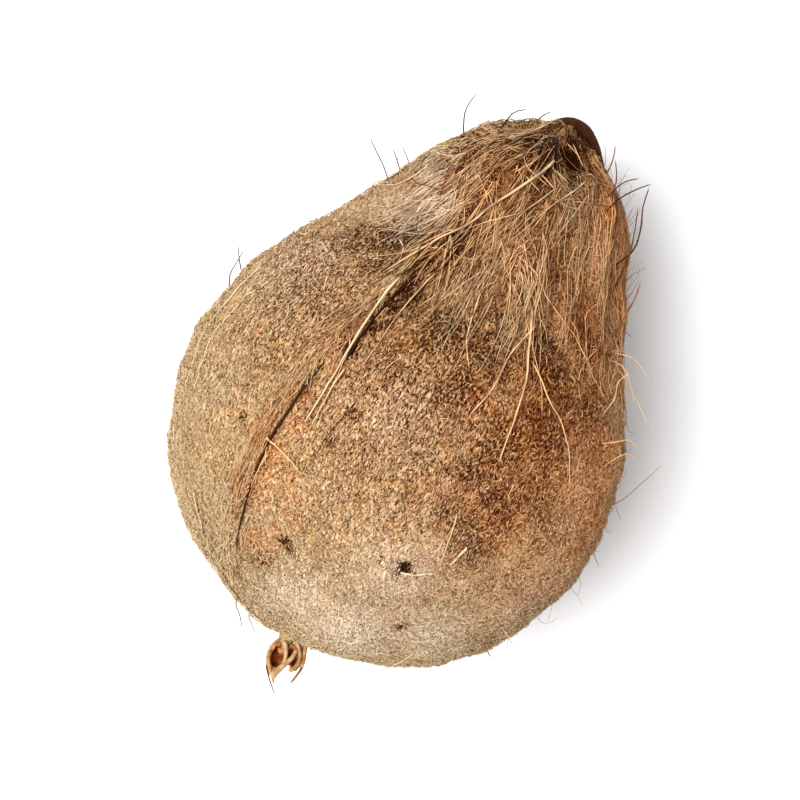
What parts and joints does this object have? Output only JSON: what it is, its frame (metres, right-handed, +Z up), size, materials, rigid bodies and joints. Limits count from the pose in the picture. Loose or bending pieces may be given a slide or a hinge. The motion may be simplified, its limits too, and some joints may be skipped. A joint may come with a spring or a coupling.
{
  "type": "coconut",
  "caption": "Half-husked coconut lying on its side, a round nut under matted brown husk fibre with a tuft of long fibre at one end and a torn scrap of husk at the other.",
  "frame": {"origin": "middle of the flat spot on the underside that the coconut rests on, straight below the centre of the round nut", "axes": "+X along the coconut from its plain pole towards its tuft, +Z up out of the surface it lies on, +Y to the left when looking along +X from above"},
  "size_m": [0.1632, 0.1237, 0.1152],
  "materials": {
    "husk_fibre": "dry matted coir: short light tan fibres over dark gaps, longer golden-brown strands combed back from the tuft, fully matt"
  },
  "bodies": {
    "root": {"coconut": "husk_fibre"}
  },
  "joints": []
}
